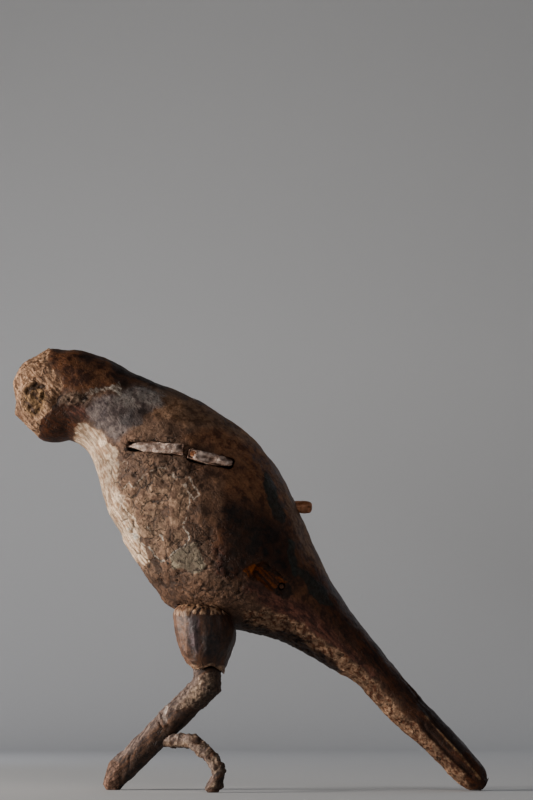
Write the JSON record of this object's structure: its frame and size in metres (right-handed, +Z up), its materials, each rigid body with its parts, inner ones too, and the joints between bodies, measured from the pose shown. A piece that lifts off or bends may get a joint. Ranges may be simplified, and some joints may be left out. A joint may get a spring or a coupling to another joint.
{
  "type": "carved wooden bird figure",
  "caption": "Antique carved and painted wooden bird on one leg, its bill, wings and other leg broken away, resting on its toe ends and long tail.",
  "frame": {"origin": "On the floor under the middle of the bounding box.", "axes": "+Z up, +X from the bill towards the tip of the tail, +Y towards the bird's right side."},
  "size_m": [0.3674, 0.106, 0.3383],
  "materials": {
    "painted_body": "old carved softwood under cracked white ground and worn dark oil paint, matt",
    "thigh_wood": "knife-faceted wood with thin worn brown and violet-grey paint, matt",
    "gesso_leg": "turned and whittled wood under lumpy cracked ground, matt",
    "broken_wood": "dry split wood grain, bare and dusty",
    "bare_peg": "whittled bare softwood, handled and darkened",
    "eye_wood": "dark painted wooden bead, mostly dull",
    "iron": "rusted wrought iron nail"
  },
  "bodies": {
    "root": {"carved_body": "painted_body", "back_peg": "bare_peg", "left_eye": "eye_wood", "right_eye": "eye_wood", "left_wing_root_front": "broken_wood", "right_wing_root_front": "broken_wood", "left_wing_root_rear": "broken_wood", "right_wing_root_rear": "broken_wood", "left_wing_peg": "bare_peg", "right_wing_peg": "bare_peg", "left_wingtip_nail": "iron", "right_wingtip_nail": "iron", "left_thigh_nail": "iron", "right_thigh_nail": "iron", "left_thigh": "thigh_wood", "right_thigh": "thigh_wood", "left_thigh_dowel": "bare_peg", "right_thigh_dowel": "bare_peg", "left_tarsus": "gesso_leg", "left_front_toe": "gesso_leg", "left_hind_toe": "gesso_leg", "right_tarsus_stub": "bare_peg"}
  },
  "joints": []
}
